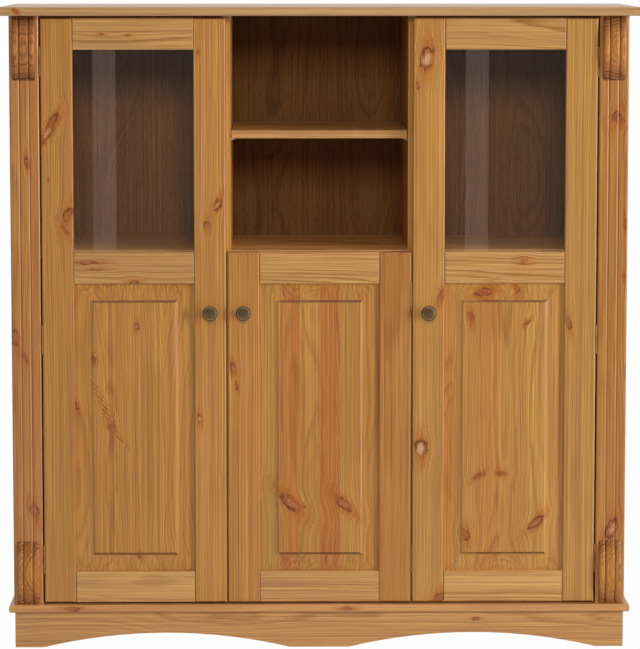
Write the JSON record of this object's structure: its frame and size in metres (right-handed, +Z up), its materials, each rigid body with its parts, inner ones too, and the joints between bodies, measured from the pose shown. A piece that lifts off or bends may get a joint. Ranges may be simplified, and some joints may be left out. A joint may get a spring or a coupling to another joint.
{
  "type": "highboard",
  "caption": "Pine highboard with glazed outer doors over raised panels, a panelled centre door below an open niche, reeded pilasters and an arched plinth, for storage and display.",
  "frame": {"origin": "on the floor, under the middle of the top panel", "axes": "+X to the right as seen from the front, +Y to the back, +Z up"},
  "size_m": [1.3, 0.38, 1.32],
  "materials": {
    "waxed_pine": "satin wax on knotty pine",
    "printed_back": "dark wood-grain board",
    "glass": "clear",
    "antique_brass": "aged, dull shine",
    "bronzed_steel": "bronzed",
    "zinc_plate": "zinc plated",
    "pin_plastic": "pale plastic",
    "catch_plastic": "brown plastic"
  },
  "bodies": {
    "carcass": {"base_panel": "waxed_pine", "centre_back_panel": "printed_back", "centre_hinge_leaves": "bronzed_steel", "centre_shelf": "waxed_pine", "hinge_pins": "bronzed_steel", "left_back_panel": "printed_back", "left_lower_shelf": "waxed_pine", "left_partition": "waxed_pine", "left_pilaster": "waxed_pine", "left_side_panel": "waxed_pine", "left_upper_shelf": "waxed_pine", "lower_corbels": "waxed_pine", "magnetic_catches": "catch_plastic", "niche_floor": "waxed_pine", "niche_shelf": "waxed_pine", "plinth_back": "waxed_pine", "plinth_blocks": "waxed_pine", "plinth_front": "waxed_pine", "plinth_sides": "waxed_pine", "right_back_panel": "printed_back", "right_lower_shelf": "waxed_pine", "right_partition": "waxed_pine", "right_pilaster": "waxed_pine", "right_side_panel": "waxed_pine", "right_upper_shelf": "waxed_pine", "shelf_pins": "pin_plastic", "side_hinge_leaves": "bronzed_steel", "top_panel": "waxed_pine", "upper_corbels": "waxed_pine"},
    "left_door": {"left_hinge_stile": "waxed_pine", "left_lock_stile": "waxed_pine", "left_bottom_rail": "waxed_pine", "left_middle_rail": "waxed_pine", "left_top_rail": "waxed_pine", "left_glass": "glass", "left_glass_beads": "waxed_pine", "left_panel": "waxed_pine", "left_knob": "antique_brass", "left_door_leaves": "bronzed_steel", "left_strike_plate": "zinc_plate"},
    "centre_door": {"centre_hinge_stile": "waxed_pine", "centre_lock_stile": "waxed_pine", "centre_bottom_rail": "waxed_pine", "centre_top_rail": "waxed_pine", "centre_panel": "waxed_pine", "centre_knob": "antique_brass", "centre_door_leaves": "bronzed_steel", "centre_strike_plate": "zinc_plate"},
    "right_door": {"right_hinge_stile": "waxed_pine", "right_lock_stile": "waxed_pine", "right_bottom_rail": "waxed_pine", "right_middle_rail": "waxed_pine", "right_top_rail": "waxed_pine", "right_glass": "glass", "right_glass_beads": "waxed_pine", "right_panel": "waxed_pine", "right_knob": "antique_brass", "right_door_leaves": "bronzed_steel", "right_strike_plate": "zinc_plate"}
  },
  "joints": [
    {"name": "left_door_hinge", "type": "hinge", "parent": "carcass", "child": "left_door", "pos_m": [-0.5675, -0.1628, 0], "axis": [0, 0, -1], "range_deg": [0, 95]},
    {"name": "centre_door_hinge", "type": "hinge", "parent": "carcass", "child": "centre_door", "pos_m": [0.1885, -0.1628, 0], "axis": [0, 0, 1], "range_deg": [0, 95]},
    {"name": "right_door_hinge", "type": "hinge", "parent": "carcass", "child": "right_door", "pos_m": [0.5675, -0.1628, 0], "axis": [0, 0, 1], "range_deg": [0, 95]}
  ]
}
